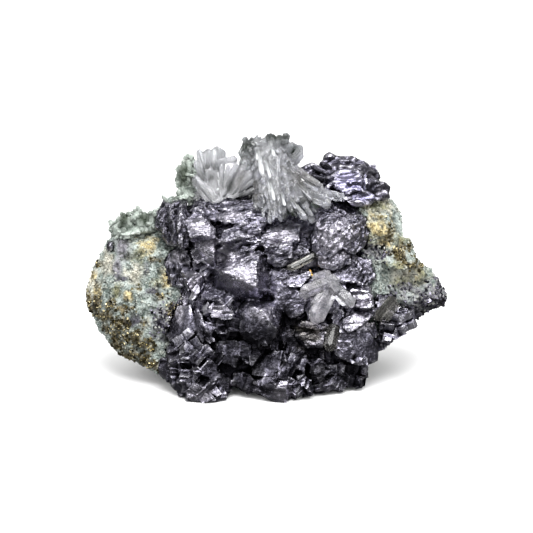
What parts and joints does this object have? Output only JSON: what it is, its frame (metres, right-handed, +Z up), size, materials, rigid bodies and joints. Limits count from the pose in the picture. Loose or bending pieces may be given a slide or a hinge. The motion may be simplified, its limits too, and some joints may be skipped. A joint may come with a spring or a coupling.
{
  "type": "galena specimen",
  "caption": "Galena crystals grown together in green chlorite rock, with sprays of quartz along the top and clear quartz on the front; a display specimen that stands on its base.",
  "frame": {"origin": "middle of the footprint's bounding box, on the surface that the specimen rests on", "axes": "+Z up; the display face looks along -Y and leans back 18 degrees; +X to the right of someone facing it"},
  "size_m": [0.1102, 0.056, 0.071],
  "materials": {
    "chlorite_rock": "rough, green-grey with pyrite",
    "galena": "lead-grey, metallic, etched",
    "bright_galena": "lead-grey, metallic, smooth",
    "quartz": "milky, partly dusted with chlorite",
    "clear_quartz": "clear, glassy",
    "coated_quartz": "matt, coated with chlorite"
  },
  "bodies": {
    "root": {"matrix_rock": "chlorite_rock", "galena_cluster": "galena", "galena_crown": "bright_galena", "galena_plates": "galena", "galena_bead": "galena", "quartz_sheaf": "quartz", "quartz_fan": "quartz", "quartz_front": "clear_quartz", "quartz_lying": "clear_quartz", "quartz_point": "clear_quartz", "quartz_spar": "clear_quartz", "coated_quartz_top": "coated_quartz", "coated_quartz_left": "coated_quartz"}
  },
  "joints": []
}
